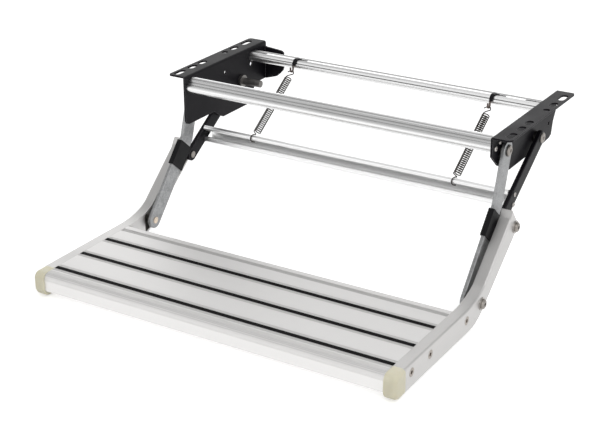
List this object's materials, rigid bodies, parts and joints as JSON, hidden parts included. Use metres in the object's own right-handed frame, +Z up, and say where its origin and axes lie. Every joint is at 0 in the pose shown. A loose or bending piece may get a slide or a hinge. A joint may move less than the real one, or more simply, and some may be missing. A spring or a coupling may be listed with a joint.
{
  "type": "caravan entry step",
  "caption": "Folding entry step: a ribbed aluminium tread on two bent side arms, carried by link bars and over-centre springs below two flanged side brackets",
  "frame": {"origin": "midway between the two round locating holes, on the top face of the mounting flanges", "axes": "+X to the step's right side as seen by someone facing it, +Y back under the vehicle, +Z up"},
  "size_m": [0.596, 0.5726, 0.2399],
  "materials": {
    "black_coat": "satin black powder coat",
    "bright_aluminium": "bright anodised extrusion",
    "satin_aluminium": "satin anodised extrusion",
    "galvanised": "zinc coated, lightly speckled",
    "screw_steel": "plain steel, slightly dull",
    "spring_steel": "oiled brown-grey steel",
    "pin_brass": "pale yellow-chromated pin ends",
    "black_plastic": "black moulded plastic",
    "grip_rubber": "matt black ribbed strip",
    "cream_plastic": "cream moulded plastic"
  },
  "bodies": {
    "frame": {"left_bracket": "black_coat", "right_bracket": "black_coat", "front_crossbar": "bright_aluminium", "rear_crossbar": "bright_aluminium", "crossbar_screws": "screw_steel", "left_spring_hook": "black_coat", "right_spring_hook": "black_coat", "front_pivot_studs": "screw_steel", "front_pivot_washers": "screw_steel", "rear_pivot_studs": "screw_steel", "rear_pivot_washers": "screw_steel", "rear_pivot_spindle": "spring_steel"},
    "springs": {"left_spring": "spring_steel", "right_spring": "spring_steel"},
    "rear_links": {"left_rear_link": "black_coat", "right_rear_link": "black_coat", "lower_crossbar": "bright_aluminium", "lower_crossbar_screws": "screw_steel"},
    "front_links": {"left_front_link": "galvanised", "right_front_link": "galvanised", "left_link_sleeve": "black_plastic", "right_link_sleeve": "black_plastic", "lower_pivot_pins": "pin_brass"},
    "tread": {"tread_board": "satin_aluminium", "front_grip_strip": "grip_rubber", "middle_grip_strip": "grip_rubber", "rear_grip_strip": "grip_rubber", "left_side_arm": "satin_aluminium", "right_side_arm": "satin_aluminium", "tread_screws": "screw_steel", "upper_pivot_bolts": "screw_steel", "upper_pivot_washers": "screw_steel", "upper_pivot_spacers": "screw_steel", "lower_pivot_bolts": "screw_steel", "lower_pivot_washers": "screw_steel", "lower_pivot_spacers": "screw_steel", "left_end_cap": "cream_plastic", "right_end_cap": "cream_plastic"}
  },
  "joints": [
    {"name": "rear_link_swing", "type": "hinge", "parent": "frame", "child": "rear_links", "pos_m": [0, 0.0131, -0.0488], "axis": [1, 0, 0], "range_deg": [0, 134.4]},
    {"name": "front_link_swing", "type": "hinge", "parent": "frame", "child": "front_links", "pos_m": [0, -0.1093, -0.0289], "axis": [1, 0, 0], "range_deg": [0, 85.8]},
    {"name": "tread_tilt", "type": "hinge", "parent": "rear_links", "child": "tread", "pos_m": [0, -0.121, -0.1363], "axis": [1, 0, 0], "range_deg": [-134.5, 0]},
    {"name": "spring_swing", "type": "hinge", "parent": "frame", "child": "springs", "pos_m": [0, 0.0327, -0.0235], "axis": [1, 0, 0], "range_deg": [0, 112.6], "deforming": ["left_spring", "right_spring"]}
  ],
  "couplings": [
    {"joint": "front_link_swing", "follows": "rear_link_swing", "ratio": 0.6374},
    {"joint": "tread_tilt", "follows": "rear_link_swing", "ratio": -1},
    {"joint": "spring_swing", "follows": "rear_link_swing", "ratio": 0.8377}
  ]
}
